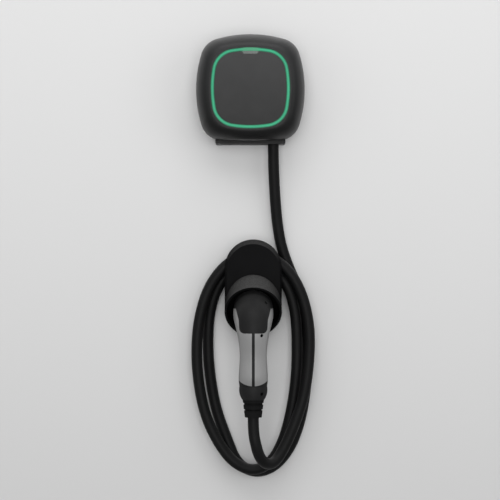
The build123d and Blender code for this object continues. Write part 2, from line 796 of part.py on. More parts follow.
# Five inner leads fan out from the gland, through the sensor, to the outlet block
terminal_bottom_z = terminal_z - terminal_size[1] / 2
lead_front_depth = board_front_depth + terminal_size[2] / 2
for number, name in enumerate(("line_one", "line_two", "line_three", "neutral", "earth")):
    start_x = gland_x + (number - 2) * lead_pitch
    end_x = terminal_x + pole_row[number]
    with BuildPart() as lead:
        with BuildLine() as lead_path:
            FilletPolyline(
                (start_x, -gland_depth, gland_body_top_z),
                (start_x, -gland_depth, sensor_bottom_z + sensor_size[2] + 1),
                (end_x, -lead_front_depth, terminal_bottom_z - lead_rise),
                (end_x, -lead_front_depth, terminal_bottom_z),
                radius=lead_bend,
            )
        with BuildSketch(level_plane(start_x, gland_depth, gland_body_top_z)):
            Circle(lead_diameter / 2)
        sweep()
    write(lead.part, f"{name}_lead")

# The holster's wall plate, with the saddle that carries the cable
plate_width = holster_width - 2 * plate_inset
plate_height = holster_height - 2 * plate_inset
flange_thickness = flange_front_depth - flange_back_depth
mouth = Plane(
    origin=(holster_x, -mouth_depth, mouth_z),
    x_dir=X_AXIS,
    z_dir=(0, -math.cos(math.radians(mouth_tilt)), -math.sin(math.radians(mouth_tilt))),
)
saddle_low_z = saddle_top_z - (saddle_radius - math.sqrt(saddle_radius**2 - saddle_half_width**2))
mouth_wall = mouth_outer_radius - mouth_inner_radius
cup_outer_radius = cup_inner_radius + cup_wall


def saddle_outline(inset):
    """The saddle from the front: straight sides and an arched top, open below."""
    half = saddle_half_width - inset
    top = saddle_top_z - inset - holster_centre_z
    low = saddle_low_z - inset - holster_centre_z
    bottom = neck_bottom_z - holster_centre_z
    with BuildSketch(mode=Mode.PRIVATE) as shape:
        with BuildLine():
            ThreePointArc((-half, low), (0, top), (half, low))
            Polyline((half, low), (half, bottom), (-half, bottom), (-half, low))
        make_face()
    return shape.sketch


with BuildPart() as holster_plate:
    with BuildSketch(holster_plane(0)):
        SlotOverall(plate_height, plate_width, rotation=90)
    extrude(amount=plate_thickness)
    fillet(holster_plate.faces().sort_by(Axis.Y)[0].edges(), plate_edge_radius)
    with BuildSketch(holster_plane(plate_thickness)):
        add(saddle_outline(0))
        add(saddle_outline(saddle_wall), mode=Mode.SUBTRACT)
    extrude(amount=flange_back_depth - plate_thickness)
    with BuildSketch(holster_plane(plate_thickness, top_pillar_z)):
        Circle(top_pillar_radius)
        with Locations((0, top_pillar_radius)):
            Rectangle(2 * saddle_wall, 2 * top_pillar_radius)
    extrude(amount=flange_back_depth - plate_thickness)
    with BuildSketch(holster_plane(0, holster_hole_z)):
        with GridLocations(holster_hole_spacing_x, holster_hole_spacing_z, 2, 2):
            Circle(holster_hole_radius)
    extrude(amount=plate_thickness, mode=Mode.SUBTRACT)
    with BuildSketch(holster_plane(0, lower_boss_z)):
        with Locations((-lower_boss_x, 0), (lower_boss_x, 0), (0, top_pillar_z - lower_boss_z)):
            Circle(small_screw_radius + slide_clearance)
    extrude(amount=flange_back_depth, mode=Mode.SUBTRACT)
    with BuildSketch(holster_plane(0, lower_boss_z)):
        with Locations((-lower_boss_x, 0), (lower_boss_x, 0), (0, top_pillar_z - lower_boss_z)):
            Circle(small_head_radius + slide_clearance)
    extrude(amount=small_head_height + slide_clearance, mode=Mode.SUBTRACT)
    with BuildSketch(mouth.offset(-mouth_floor - mouth_wall - slide_clearance)):
        Circle(mouth_inner_radius + mouth_wall)
    extrude(amount=mouth_depth, mode=Mode.SUBTRACT)
write(holster_plate.part, "holster_plate")

# The holster's shell: a shield in front of the cable, and the tilted mouth that takes the plug
with BuildPart() as mouth_tube:
    with BuildSketch(mouth):
        Circle(mouth_outer_radius)
    extrude(amount=-holster_height / 2)
    with BuildSketch(holster_plane(flange_back_depth)):
        Rectangle(2 * holster_width, 2 * holster_height)
    extrude(amount=2 * mouth_outer_radius, mode=Mode.INTERSECT)

with BuildPart() as lower_hollow:
    with BuildSketch(holster_plane(plate_thickness)):
        SlotOverall(holster_height - 2 * lower_body_wall, holster_width - 2 * lower_body_wall, rotation=90)
    extrude(amount=flange_back_depth - plate_thickness)
    with BuildSketch(mouth.offset(-mouth_floor - mouth_wall)):
        Circle(mouth_inner_radius + mouth_wall)
    extrude(amount=holster_height, mode=Mode.SUBTRACT)

with BuildPart() as upper_hollow:
    with BuildSketch(mouth.offset(-mouth_floor - mouth_wall)):
        Circle(mouth_inner_radius)
    extrude(amount=-holster_height / 2)
    with BuildSketch(holster_plane(flange_front_depth)):
        Rectangle(2 * holster_width, 2 * holster_height)
    extrude(amount=2 * mouth_outer_radius, mode=Mode.INTERSECT)

with BuildPart() as holster_shell:
    with BuildSketch(holster_plane(flange_back_depth)):
        SlotOverall(holster_height, holster_width, rotation=90)
    extrude(amount=flange_rim)
    with BuildSketch(holster_plane(flange_back_depth + flange_rim)):
        SlotOverall(holster_height, holster_width, rotation=90)
    with BuildSketch(holster_plane(flange_front_depth, holster_centre_z - (flange_bevel_top - flange_bevel_side) / 2)):
        SlotOverall(
            holster_height - flange_bevel_top - flange_bevel_side,
            holster_width - 2 * flange_bevel_side,
            rotation=90,
        )
    loft()
    fillet(holster_shell.faces().sort_by(Axis.Y)[0].edges(), flange_edge)
    with BuildSketch(holster_plane(plate_thickness)):
        SlotOverall(holster_height, holster_width, rotation=90)
        with Locations((0, lower_body_top_z - holster_centre_z)):
            Rectangle(holster_width, holster_height, align=(Align.CENTER, Align.MIN), mode=Mode.SUBTRACT)
    extrude(amount=flange_back_depth - plate_thickness)
    add(mouth_tube.part)
    add(lower_hollow.part, mode=Mode.SUBTRACT)
    add(upper_hollow.part, mode=Mode.SUBTRACT)
    with BuildSketch(holster_plane(plate_thickness, lower_boss_z)):
        with Locations((-lower_boss_x, 0), (lower_boss_x, 0)):
            Circle(lower_boss_radius)
    extrude(amount=flange_back_depth - plate_thickness)
    with BuildSketch(mouth.offset(-mouth_floor)):
        Circle(mouth_inner_radius)
    extrude(amount=holster_width, mode=Mode.SUBTRACT)
    with BuildSketch(mouth):
        Rectangle(2 * holster_width, 2 * holster_width)
    extrude(amount=holster_width, mode=Mode.SUBTRACT)
    with BuildSketch(mouth):
        Circle(cup_outer_radius + slide_clearance)
    extrude(amount=-holster_height / 2, mode=Mode.SUBTRACT)
    with BuildSketch(holster_plane(plate_thickness, lower_boss_z)):
        with Locations((-lower_boss_x, 0), (lower_boss_x, 0)):
            Circle(small_screw_radius)
    extrude(amount=small_screw_length, mode=Mode.SUBTRACT)
write(holster_shell.part, "holster_shell")

# The cup in the holster that takes the plug's nose
with BuildPart() as holster_cup:
    with BuildSketch(mouth.offset(-mouth_floor)):
        Circle(cup_outer_radius)
    extrude(amount=-cup_length - cup_floor)
    with BuildSketch(mouth.offset(-mouth_floor)):
        Circle(cup_inner_radius)
    extrude(amount=-cup_length, mode=Mode.SUBTRACT)
    with BuildSketch(holster_plane(plate_thickness)):
        Rectangle(2 * holster_width, 2 * holster_height)
    extrude(amount=mouth_depth, mode=Mode.INTERSECT)
write(holster_cup.part, "holster_cup")

with BuildPart() as holster_screws:
    with BuildSketch(holster_plane(slide_clearance, lower_boss_z)):
        with Locations((-lower_boss_x, 0), (lower_boss_x, 0), (0, top_pillar_z - lower_boss_z)):
            Circle(small_head_radius)
    extrude(amount=small_head_height)
    with BuildSketch(holster_plane(slide_clearance + small_head_height, lower_boss_z)):
        with Locations((-lower_boss_x, 0), (lower_boss_x, 0)):
            Circle(small_screw_radius)
    extrude(amount=small_screw_length)
    with BuildSketch(holster_plane(slide_clearance + small_head_height, top_pillar_z)):
        Circle(small_screw_radius)
    extrude(amount=flange_back_depth - small_head_height - slide_clearance)
write(holster_screws.part, "holster_screws")

# The plug: an elbow from the mouth's axis down to the handle, drawn as one skin and then cut into its mouldings
elbow_tilt = math.radians((90 + mouth_tilt) / 2)
elbow = Plane(
    origin=(holster_x, -elbow_depth, elbow_z), x_dir=X_AXIS, z_dir=(0, -math.cos(elbow_tilt), -math.sin(elbow_tilt))
)


def handle_plane(z):
    """A level cut through the handle, facing down."""
    return level_plane(holster_x, handle_depth, z, up=False)


def draw_plug(wall):
    """The plug's skin, drawn inside by this wall, as a stack of rounds from the mouth to the collar."""
    with BuildPart() as skin:
        with BuildSketch(mouth.offset(head_front + wall)):
            Circle(head_radius - wall)
        with BuildSketch(mouth.offset(head_full)):
            Circle(head_radius - wall)
        with BuildSketch(elbow):
            Circle(elbow_radius - wall)
        for z, size in ((handle_top_z, handle_top_size), (handle_mid_z, handle_mid_size), (handle_end_z, handle_end_size)):
            with BuildSketch(handle_plane(z)):
                Ellipse(size[0] - wall, size[1] - wall)
        loft()
    return skin.part


plug_outside = draw_plug(0)
plug_inside = draw_plug(plug_wall)

with BuildPart() as plug_skin:
    add(plug_outside)
    add(plug_inside, mode=Mode.SUBTRACT)
    with BuildSketch(mouth.offset(head_front)):
        Circle(nose_radius - nose_rim)
    extrude(amount=plug_wall, mode=Mode.SUBTRACT)

with BuildPart() as cap_zone:
    with BuildSketch(Plane(origin=(holster_x, -cap_back_depth, 0), x_dir=X_AXIS, z_dir=(0, -1, 0))) as cap_outline:
        with BuildLine():
            Polyline(
                (-cap_shoulder[0], cap_shoulder[1]),
                (-cap_waist[0], cap_waist[1]),
                (-cap_corner[0], cap_corner[1]),
                (cap_corner[0], cap_corner[1]),
                (cap_waist[0], cap_waist[1]),
                (cap_shoulder[0], cap_shoulder[1]),
                close=True,
            )
        make_face()
        fillet(cap_outline.vertices().group_by(Axis.Y)[0], cap_corner_radius)
    extrude(amount=3 * head_radius)
    with BuildSketch(level_plane(holster_x, mouth_depth, cap_head_z)):
        Rectangle(4 * head_radius, 6 * head_radius)
    extrude(amount=2 * head_radius)

with BuildPart() as collar_zone:
    with BuildSketch(Plane(origin=(holster_x, 0, silver_end_z), x_dir=X_AXIS, z_dir=(0, -1, 0))):
        with Locations((0, -collar_zone_depth)):
            Rectangle(2 * collar_zone_half, collar_zone_depth + collar_zone_rise, align=(Align.CENTER, Align.MIN))
        with Locations((0, silver_end_radius)):
            Circle(silver_end_radius, mode=Mode.SUBTRACT)
    extrude(amount=2 * handle_depth)

with BuildPart() as strip_zone:
    with BuildSketch(Plane(origin=(holster_x, -handle_depth, handle_end_z), x_dir=X_AXIS, z_dir=(0, -1, 0))):
        Rectangle(strip_width, elbow_z - handle_end_z, align=(Align.CENTER, Align.MIN))
    extrude(amount=2 * head_radius)

with BuildPart() as plug_cap:
    add(plug_skin.part)
    add(cap_zone.part, mode=Mode.INTERSECT)
write(plug_cap.part, "plug_cap")

with BuildPart() as plug_strip:
    add(plug_skin.part)
    add(strip_zone.part, mode=Mode.INTERSECT)
    add(cap_zone.part, mode=Mode.SUBTRACT)
    add(collar_zone.part, mode=Mode.SUBTRACT)
write(plug_strip.part, "plug_strip")

for name, side in (("plug_shell_left", -1), ("plug_shell_right", 1)):
    with BuildPart() as half:
        add(plug_skin.part)
        with BuildSketch(Plane.YZ.offset(holster_x)):
            with Locations((-mouth_depth, mouth_z)):
                Rectangle(4 * holster_height, 4 * holster_height)
        extrude(amount=side * holster_width, mode=Mode.INTERSECT)
        add(cap_zone.part, mode=Mode.SUBTRACT)
        add(strip_zone.part, mode=Mode.SUBTRACT)
        add(collar_zone.part, mode=Mode.SUBTRACT)
    write(half.part, name)

# Nose, contacts and seal of the plug
pins = [(pin_circle_radius * math.cos(math.radians(a)), pin_circle_radius * math.sin(math.radians(a))) for a in (180, 0, 234, 306)]
pins.append((0, 0))
signal_pins = [(-signal_pin_x, signal_pin_y), (signal_pin_x, signal_pin_y)]

with BuildPart() as plug_nose:
    with BuildSketch(mouth.offset(head_front)):
        Circle(nose_radius)
        with Locations((0, nose_flat)):
            Rectangle(2 * nose_radius, nose_radius, align=(Align.CENTER, Align.MIN), mode=Mode.SUBTRACT)
    extrude(amount=-nose_length)
    with BuildSketch(mouth.offset(head_front - nose_length)):
        Circle(nose_radius - nose_rim)
        with Locations((0, nose_flat - nose_rim)):
            Rectangle(2 * nose_radius, nose_radius, align=(Align.CENTER, Align.MIN), mode=Mode.SUBTRACT)
    extrude(amount=nose_socket_depth, mode=Mode.SUBTRACT)
    with BuildSketch(mouth.offset(head_front)):
        Circle(nose_radius - nose_rim - slide_clearance)
    extrude(amount=plug_wall)
    with BuildSketch(mouth.offset(head_front + plug_wall)):
        with Locations(*pins):
            Circle(pin_radius)
        with Locations(*signal_pins):
            Circle(signal_pin_radius)
    extrude(amount=-nose_length - plug_wall, mode=Mode.SUBTRACT)
write(plug_nose.part, "plug_nose")

contact_end = head_front - nose_length + nose_socket_depth + 1
with BuildPart() as power_contacts:
    with BuildSketch(mouth.offset(contact_end)):
        with Locations(*pins):
            Circle(pin_radius)
    extrude(amount=pin_length)
    with BuildSketch(mouth.offset(contact_end)):
        with Locations(*pins):
            Circle(pin_bore_radius)
    extrude(amount=pin_length / 2, mode=Mode.SUBTRACT)
write(power_contacts.part, "power_contacts")

with BuildPart() as signal_contacts:
    with BuildSketch(mouth.offset(contact_end)):
        with Locations(*signal_pins):
            Circle(signal_pin_radius)
    extrude(amount=pin_length)
    with BuildSketch(mouth.offset(contact_end)):
        with Locations(*signal_pins):
            Circle(signal_bore_radius)
    extrude(amount=pin_length / 2, mode=Mode.SUBTRACT)
write(signal_contacts.part, "signal_contacts")

# Collar, cable boot and the plug's screws
with BuildPart() as collar_body:
    with BuildSketch(handle_plane(handle_end_z)):
        Ellipse(*handle_end_size)
    with BuildSketch(handle_plane(collar_straight_z)):
        Ellipse(*handle_end_size)
    with BuildSketch(handle_plane(collar_end_z)):
        Ellipse(collar_end_radius, collar_end_radius)
    loft()
with BuildPart() as collar_lip:
    add(plug_skin.part)
    add(collar_zone.part, mode=Mode.INTERSECT)
with BuildPart() as plug_collar:
    add(collar_body.part)
    add(collar_lip.part)
write(plug_collar.part, "plug_collar")

boot_taper = (boot_top_radius - boot_end_radius) / (collar_end_z - boot_end_z)
with BuildPart() as plug_boot:
    with BuildSketch(Plane(origin=(holster_x, -handle_depth, collar_end_z), x_dir=X_AXIS, z_dir=(0, -1, 0))):
        with BuildLine():
            corners = [(0, 0), (boot_top_radius, 0)]
            for drop, height in boot_grooves:
                radius = boot_top_radius - boot_taper * drop
                corners += [(radius, -drop), (radius - boot_groove_depth, -drop)]
                corners += [(radius - boot_groove_depth, -drop - height)]
                corners += [(radius - boot_taper * height, -drop - height)]
            corners += [(boot_end_radius, boot_end_z - collar_end_z), (0, boot_end_z - collar_end_z)]
            Polyline(*corners, close=True)
        make_face()
    revolve(axis=Axis((holster_x, -handle_depth, 0), (0, 0, 1)))
    low_drop, low_height = boot_grooves[-1]
    with BuildSketch(level_plane(holster_x, handle_depth, collar_end_z - low_drop - low_height)):
        Rectangle(boot_bridge_width, 2 * (boot_end_radius + boot_taper * low_height))
    extrude(amount=low_height)
write(plug_boot.part, "plug_boot")

# The cable, from the gland over the saddle twice and back up into the plug. Every point is x, depth and z.
cable_points = [
    (42, 28, -78), (42, 28, -119), (43.5, 25, -162), (46, 21, -205), (50, 16, -246), (57, 13, -286),
    (72, 11, -327), (92, 11, -370), (102.5, 11, -424), (106, 11, -484), (103, 11, -544), (93, 11, -605),
    (73.5, 11, -658), (43, 11, -693), (7, 11, -703), (-26, 11, -684), (-44, 11, -638),
    (-64, 11, -584), (-75, 11, -523), (-79, 11.5, -460), (-75, 13, -400), (-58, 16, -352),
    (-31, 19, -327), (5, 22, -318), (40, 23, -326), (68, 25, -353), (83, 28, -403),
    (86, 29, -462), (84.5, 30, -522), (76, 31, -584), (61, 32, -641), (38, 33, -682), (4, 34, -697),
    (-31, 33, -681), (-57, 32, -648), (-81, 31, -600), (-94, 30, -545), (-99.5, 30, -483),
    (-95.5, 31, -422), (-80, 32, -366), (-56, 33, -329), (-28, 33.5, -306), (8, 34, -297.5),
    (44, 34.5, -306), (77, 36, -336), (99, 37, -383), (109, 38, -440), (107, 41, -500),
    (98.5, 46, -556), (83, 51, -602), (67, 55, -640), (50, 61, -670), (38, 72, -679), (25, 85, -675),
    (15.5, 94, -661), (9.5, 99, -640), (5.2, 96, -616), (5.2, 96, -591),
]
arc_share = 0.45


def arc_radii(points):
    """The largest tangent arc for each corner of the route, as a share of its shorter run."""
    radii = []
    for before, corner, after in zip(points, points[1:], points[2:]):
        half_turn = math.radians((corner - before).get_angle(after - corner) / 2)
        radii.append(arc_share * min((corner - before).length, (after - corner).length) / math.tan(half_turn))
    return radii


route = [Vector(x, -depth, z) for x, depth, z in cable_points]
cable_radii = arc_radii(route)
with BuildPart() as charging_cable:
    with BuildLine() as cable_path:
        FilletPolyline(*route, radius=cable_radii)
    with BuildSketch(Plane(origin=route[0], x_dir=X_AXIS, z_dir=route[1] - route[0])):
        Circle(cable_radius)
    sweep()
write(charging_cable.part, "charging_cable")

cable_length = sum(edge.length for edge in cable_path.edges())
expected = math.pi * cable_radius**2 * cable_length
print("cable radii", [round(r) for r in cable_radii])
print(f"cable length {cable_length:.0f}, volume {charging_cable.part.volume:.0f}, section times length {expected:.0f}")
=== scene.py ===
# %% [markdown]
# # A wall charger for an electric car, with its cable and holster
#
# The object is a compact charge point: a rounded-square unit with a lit ring, a holster on the wall below it, and a
# thick cable that is looped over the holster and ends in a hand-held plug. The CAD model gives every piece its size
# and place. This lesson gives the pieces their finish, cuts three screws into the handle, scatters small parts over
# the board and makes the cable again as a smooth curve.

import math

import bpy
import bmesh
from mathutils import Matrix, Vector


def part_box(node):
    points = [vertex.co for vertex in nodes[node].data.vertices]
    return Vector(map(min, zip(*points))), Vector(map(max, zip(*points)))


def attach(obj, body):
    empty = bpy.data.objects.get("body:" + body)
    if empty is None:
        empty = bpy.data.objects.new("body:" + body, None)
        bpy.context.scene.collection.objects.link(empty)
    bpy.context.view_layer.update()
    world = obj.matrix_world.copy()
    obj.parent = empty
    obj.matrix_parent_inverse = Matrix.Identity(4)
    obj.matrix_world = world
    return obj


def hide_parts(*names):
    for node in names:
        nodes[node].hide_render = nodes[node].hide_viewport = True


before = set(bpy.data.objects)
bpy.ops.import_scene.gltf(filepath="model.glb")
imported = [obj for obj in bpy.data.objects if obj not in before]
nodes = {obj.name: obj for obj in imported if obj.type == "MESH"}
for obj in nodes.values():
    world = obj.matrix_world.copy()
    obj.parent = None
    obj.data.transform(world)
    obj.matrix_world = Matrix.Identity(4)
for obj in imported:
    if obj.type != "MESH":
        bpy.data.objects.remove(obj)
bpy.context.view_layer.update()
scene = bpy.context.scene

# %% [markdown]
# ## Camera
#
# The photograph was taken from straight in front with a long lens, so parallel edges stay parallel. A camera three
# metres away with a long focal length repeats that. Its height is the middle of the picture, not of the unit.

# %% Camera
# Metres for the camera's place, and millimetres for its sensor and lens.
camera_distance = 3.0
camera_height = -0.2913
camera_side = -0.0007
sensor_width = 36.0
focal_length = 116.6

camera_data = bpy.data.cameras.new("camera")
camera_data.sensor_width = sensor_width
camera_data.lens = focal_length
camera = bpy.data.objects.new("camera", camera_data)
camera.location = (camera_side, -camera_distance, camera_height)
camera.rotation_euler = (math.radians(90), 0, 0)
scene.collection.objects.link(camera)
scene.camera = camera
scene.view_settings.view_transform = "Standard"
print("picture is", round(sensor_width / focal_length * camera_distance, 3), "m wide at the wall")

# %% [markdown]
# ## Nodes by script
#
# Materials and Geometry Nodes are both trees of nodes with links. A node could be placed by hand in the editor, but
# a script can be read, changed and run again. A few helpers keep that short: one adds a node, one links two sockets,
# and the others make the nodes that nearly every finish here needs.


# %% Node helpers
def add_node(tree, kind, **settings):
    """A new node of a kind, with its settings."""
    node = tree.nodes.new(kind)
    for key, value in settings.items():
        setattr(node, key, value)
    return node


def node_tree(name):
    """A new material, its emptied tree and its output node."""
    material = bpy.data.materials.new(name)
    material.use_nodes = True
    tree = material.node_tree
    tree.nodes.clear()
    return material, tree, add_node(tree, "ShaderNodeOutputMaterial")


def link(tree, source, target):
    tree.links.new(source, target)


def math_node(tree, operation, first, second):
    """An operation on two numbers. The second is a socket or a plain number."""
    node = add_node(tree, "ShaderNodeMath", operation=operation)
    link(tree, first, node.inputs[0])
    if isinstance(second, float):
        node.inputs[1].default_value = second
    else:
        link(tree, second, node.inputs[1])
    return node.outputs[0]


def map_range(tree, value, from_low, from_high, to_low=0.0, to_high=1.0):
    """A number moved evenly from one range to another, and held at its ends."""
    node = add_node(tree, "ShaderNodeMapRange")
    node.inputs["From Min"].default_value = from_low
    node.inputs["From Max"].default_value = from_high
    node.inputs["To Min"].default_value = to_low
    node.inputs["To Max"].default_value = to_high
    link(tree, value, node.inputs["Value"])
    return node.outputs["Result"]


# %% Colour and pattern helpers
def ramp(tree, factor, stops):
    """A colour ramp with (position, grey or colour) stops, fed by factor."""
    node = add_node(tree, "ShaderNodeValToRGB")
    elements = node.color_ramp.elements
    while len(elements) < len(stops):
        elements.new(0.5)
    for element, (position, colour) in zip(elements, stops):
        element.position = position
        value = (colour, colour, colour) if isinstance(colour, float) else colour
        element.color = (*value, 1.0)
    link(tree, factor, node.inputs["Fac"])
    return node.outputs["Color"]


def product(tree, tone, level):
    """A colour times another."""
    node = add_node(tree, "ShaderNodeVectorMath", operation="MULTIPLY")
    link(tree, tone, node.inputs[0])
    link(tree, level, node.inputs[1])
    return node.outputs["Vector"]


def noise(tree, coordinates, scale, detail=2.0, roughness=0.5):
    node = add_node(tree, "ShaderNodeTexNoise")
    node.inputs["Scale"].default_value = scale
    node.inputs["Detail"].default_value = detail
    node.inputs["Roughness"].default_value = roughness
    link(tree, coordinates, node.inputs["Vector"])
    return node.outputs["Fac"]


def object_coordinates(tree):
    return add_node(tree, "ShaderNodeTexCoord").outputs["Object"]


def axes(tree, vector):
    """The X, Y and Z sockets of a vector."""
    split = add_node(tree, "ShaderNodeSeparateXYZ")
    link(tree, vector, split.inputs[0])
    return split.outputs


# %% [markdown]
# ## Wall
#
# The unit hangs on a plain painted wall. The wall belongs to the stage, not to the object. It is one large sheet
# whose back can be seen through, so that the object can also be looked at from behind. Its colour is a little
# lighter at the top, as in the photograph, where the wall is palest above the unit: painted light that falls off
# downwards from the lamps above.

# %% Wall
wall_half = 12.0
# The wall's colour carries painted light: paler at the top and darker below, by height.
wall_painted_light_heights = (-0.75, 0.18)
wall_painted_light_tones = [(0.0, 0.60), (0.5, 0.665), (1.0, 0.72)]


def wall_paint():
    material, tree, output = node_tree("wall_paint")
    height = axes(tree, object_coordinates(tree))["Z"]
    paint = add_node(tree, "ShaderNodeBsdfDiffuse")
    link(tree, ramp(tree, map_range(tree, height, *wall_painted_light_heights), wall_painted_light_tones), paint.inputs["Color"])
    clear = add_node(tree, "ShaderNodeBsdfTransparent")
    back = add_node(tree, "ShaderNodeNewGeometry").outputs["Backfacing"]
    shadow = add_node(tree, "ShaderNodeLightPath").outputs["Is Shadow Ray"]
    mix = add_node(tree, "ShaderNodeMixShader")
    link(tree, math_node(tree, "MAXIMUM", back, shadow), mix.inputs[0])
    link(tree, paint.outputs[0], mix.inputs[1])
    link(tree, clear.outputs[0], mix.inputs[2])
    link(tree, mix.outputs[0], output.inputs["Surface"])
    return material


wall_corners = [(-1, 0, -1), (1, 0, -1), (1, 0, 1), (-1, 0, 1)]
wall_mesh = bpy.data.meshes.new("wall")
wall_mesh.from_pydata([tuple(wall_half * v for v in corner) for corner in wall_corners], [], [(0, 1, 2, 3)])
wall_mesh.materials.append(wall_paint())
wall = bpy.data.objects.new("wall", wall_mesh)
scene.collection.objects.link(wall)
print("wall faces", tuple(round(v, 1) for v in wall_mesh.polygons[0].normal))

# %% [markdown]
# ## Light
#
# A big soft lamp high in front gives the black shells their pale upper edges and leaves their lower edges dark. A
# broad lamp straight in front and two weak ones at the sides open the shadows on the wall, which is why the cable
# leaves almost none. One behind the wall is there only for views from the back.

# %% Lights
lamp_target = Vector((0, 0, -0.3))
room_strength = 0.38
# Each lamp has a name, a place, a size across and up, and a power in watts.
lamps = [
    ("lamp_above", (0.0, -2.6, 2.6), (3.6, 2.0), 54.0),
    ("lamp_front", (0.0, -4.0, -0.2), (2.6, 2.6), 66.0),
    ("lamp_left", (-2.4, -2.2, 0.2), (1.6, 2.4), 7.0),
    ("lamp_right", (2.4, -2.2, 0.2), (1.6, 2.4), 13.0),
    ("lamp_behind", (0.0, 2.2, 1.2), (2.4, 2.4), 45.0),
]
for name, place, (width, height), watts in lamps:
    data = bpy.data.lights.new(name, "AREA")
    data.shape = "RECTANGLE"
    data.size = width
    data.size_y = height
    data.energy = watts
    lamp = bpy.data.objects.new(name, data)
    lamp.location = place
    lamp.rotation_euler = (lamp_target - Vector(place)).to_track_quat("-Z", "Y").to_euler()
    scene.collection.objects.link(lamp)

world = bpy.data.worlds.new("world")
scene.world = world
world.use_nodes = True
world_tree = world.node_tree
world_tree.nodes.clear()
world_output = add_node(world_tree, "ShaderNodeOutputWorld")
room_light = add_node(world_tree, "ShaderNodeBackground")
room_light.inputs["Color"].default_value = (1.0, 1.0, 1.0, 1.0)
room_light.inputs["Strength"].default_value = room_strength
link(world_tree, room_light.outputs[0], world_output.inputs["Surface"])
print("lamps", [name for name, *_ in lamps])

# %% [markdown]
# ## What a finish is made of
#
# Most of the object is black plastic and rubber. What tells these apart is not their colour but how the surface is
# broken up: moulded plastic has a fine even grain, rubber is softer and duller, plated steel is brushed. Small
# helpers make the parts that all of them share: dust on faces which look up, which also paints light from above onto
# those faces, a gloss that varies from place to place, a fine bump, painted light that makes a tone paler at the top
# and deeper downwards, and painted shade that darkens the inside of grooves.

# %% Painted fade, dust with painted top light, and painted groove shade
# A pale grey for dust on faces that look up. The same mix also serves as painted light from above on those faces.
dust_and_top_light_colour = (0.30, 0.298, 0.295, 1.0)
dust_and_top_light_slopes = (0.2, 1.0)
speck_scale = 420.0
# How dark the painted shade inside a groove or well gets.
painted_shade_stops = [(0.35, 0.1), (0.9, 1.0)]


def painted_light_fade(tree, tone, place, low, high, low_factor, high_factor):
    """The tone times a factor that changes evenly with height: painted light, paler at the top and darker below."""
    factor = map_range(tree, axes(tree, place)["Z"], low, high, low_factor, high_factor)
    scaled = add_node(tree, "ShaderNodeVectorMath", operation="SCALE")
    link(tree, tone, scaled.inputs[0])
    link(tree, factor, scaled.inputs["Scale"])
    return scaled.outputs["Vector"]


def dusted_and_top_lit(tree, tone, place, amount):
    """The tone under specks of dust on faces that look up, which also paints light from above onto those faces."""
    normal = add_node(tree, "ShaderNodeNewGeometry").outputs["Normal"]
    upward = map_range(tree, axes(tree, normal)["Z"], *dust_and_top_light_slopes, 0.0, amount)
    specks = noise(tree, place, speck_scale, 3.0, 0.7)
    dusty_and_top_lit = add_node(tree, "ShaderNodeMix", data_type="RGBA")
    dusty_and_top_lit.inputs["B"].default_value = dust_and_top_light_colour
    link(tree, math_node(tree, "MULTIPLY", upward, specks), dusty_and_top_lit.inputs["Factor"])
    link(tree, tone, dusty_and_top_lit.inputs["A"])
    return dusty_and_top_lit.outputs["Result"]


def painted_hollow_shade(tree, tone, reach):
    """The tone with painted shade: darker where another face is nearer than reach, as in a groove."""
    open_sky = add_node(tree, "ShaderNodeAmbientOcclusion", samples=8)
    open_sky.inputs["Distance"].default_value = reach
    return product(tree, tone, ramp(tree, open_sky.outputs["AO"], painted_shade_stops))


# %% Gloss and bump
micron = 0.000001
gloss_spread = 0.07
gloss_scale = 60.0


def uneven_gloss(tree, shader, spots, roughness):
    low = max(0.05, roughness - gloss_spread)
    high = min(1.0, roughness + gloss_spread)
    level = map_range(tree, noise(tree, spots, gloss_scale, 3.0, 0.55), 0.0, 1.0, low, high)
    link(tree, level, shader.inputs["Roughness"])


def fine_bump(tree, shader, spots, grain, relief, strength=0.6):
    bump = add_node(tree, "ShaderNodeBump")
    bump.inputs["Strength"].default_value = strength
    bump.inputs["Distance"].default_value = relief * micron
    link(tree, noise(tree, spots, grain), bump.inputs["Height"])
    link(tree, bump.outputs["Normal"], shader.inputs["Normal"])


# %% A whole finish
mottle_scale = 14.0


def surface(
    name, colour, roughness, grain=2200.0, relief=20, mottle=0.12, dust_and_top_light=0.25, metallic=0.0, stretch=(1, 1, 1),
    specular=0.5, painted_fade=None, painted_shade_reach=0.0,
):
    """A procedural finish.

    grain is the bump's scale and relief its height in microns. mottle is how much the tone varies. The dust argument
    is how much dust lies on faces that look up, and the same amount also paints light from above onto them. stretch
    repeats the pattern more often along an axis, which draws it out into streaks across that axis, for brushed steel
    and tape. The fade argument is (low height, high height, factor when low, factor when high), painted light that
    makes the tone paler at the top and deeper downwards. The reach for painted shade is how far in metres a groove or
    well looks for its other side, to paint shade inside it."""
    material, tree, output = node_tree(name)
    shader = add_node(tree, "ShaderNodeBsdfPrincipled")
    shader.inputs["Metallic"].default_value = metallic
    shader.inputs["Specular IOR Level"].default_value = specular
    place = object_coordinates(tree)
    mapping = add_node(tree, "ShaderNodeMapping")
    mapping.inputs["Scale"].default_value = stretch
    link(tree, place, mapping.inputs["Vector"])
    spots = mapping.outputs["Vector"]

    low = tuple(c * (1 - mottle) for c in colour)
    high = tuple(min(1.0, c * (1 + mottle)) for c in colour)
    tone = ramp(tree, noise(tree, spots, mottle_scale, 4.0, 0.6), [(0.3, low), (0.7, high)])
    if painted_fade:
        tone = painted_light_fade(tree, tone, place, *painted_fade)
    tone = dusted_and_top_lit(tree, tone, place, dust_and_top_light)
    if painted_shade_reach:
        tone = painted_hollow_shade(tree, tone, painted_shade_reach)
    link(tree, tone, shader.inputs["Base Color"])
    uneven_gloss(tree, shader, spots, roughness)
    fine_bump(tree, shader, spots, grain, relief)
    link(tree, shader.outputs[0], output.inputs["Surface"])
    return material


def dress(material, *names):
    """Gives CAD nodes a finish."""
    for name in names:
        data = nodes[name].data
        data.materials.clear()
        data.materials.append(material)


finish = {}
